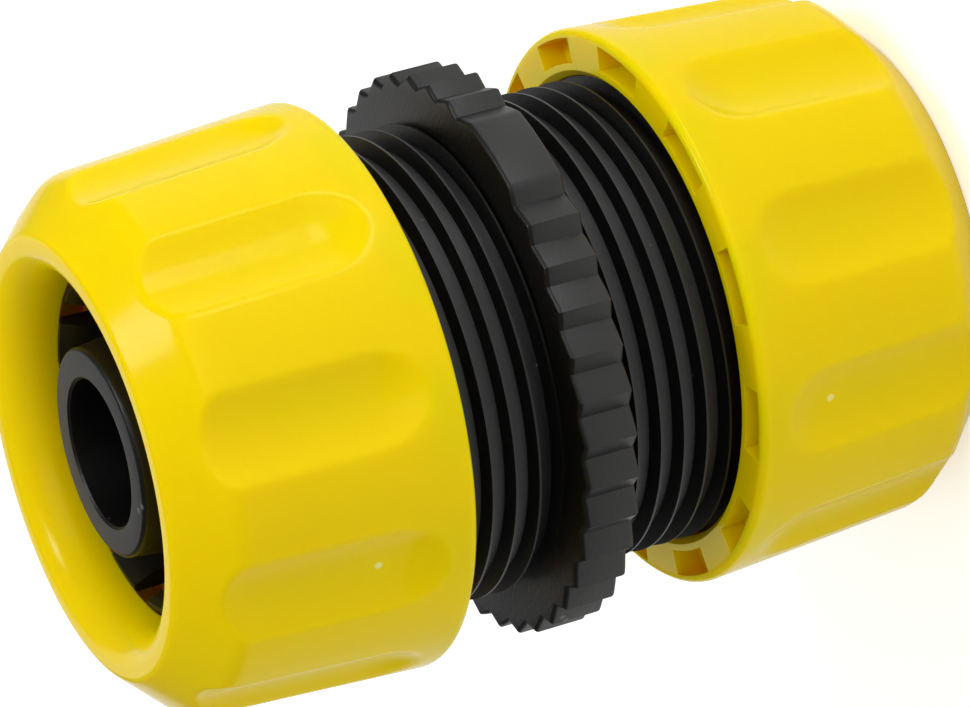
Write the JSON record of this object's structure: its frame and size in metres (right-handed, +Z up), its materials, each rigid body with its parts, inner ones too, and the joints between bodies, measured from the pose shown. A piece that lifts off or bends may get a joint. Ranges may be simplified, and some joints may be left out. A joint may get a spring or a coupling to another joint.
{
  "type": "hose mender",
  "caption": "Hose mender for a cut garden hose: a moulded body with barbed spigots, claws and a toothed grip flange, closed by fluted union nuts.",
  "frame": {"origin": "on the tube's axis, at the flat ring in front of the bottom nut that the mender stands on", "axes": "+Z up along the tube, from the bottom nut to the top nut; -Y through the middle of the flange's plain pad"},
  "size_m": [0.034, 0.034, 0.0526],
  "materials": {
    "body_plastic": "satin black moulded plastic",
    "nut_plastic": "semi-gloss yellow moulded plastic"
  },
  "bodies": {
    "bottom_nut": {"bottom_nut": "nut_plastic"},
    "mender_body": {"mender_body": "body_plastic"},
    "top_nut": {"top_nut": "nut_plastic"}
  },
  "joints": [
    {"name": "body_unscrew", "type": "slide", "parent": "bottom_nut", "child": "mender_body", "axis": [0, 0, 1], "range_m": [-0.0078, 0.0182]},
    {"name": "top_nut_unscrew", "type": "slide", "parent": "mender_body", "child": "top_nut", "axis": [0, 0, 1], "range_m": [-0.0068, 0.0192]}
  ]
}
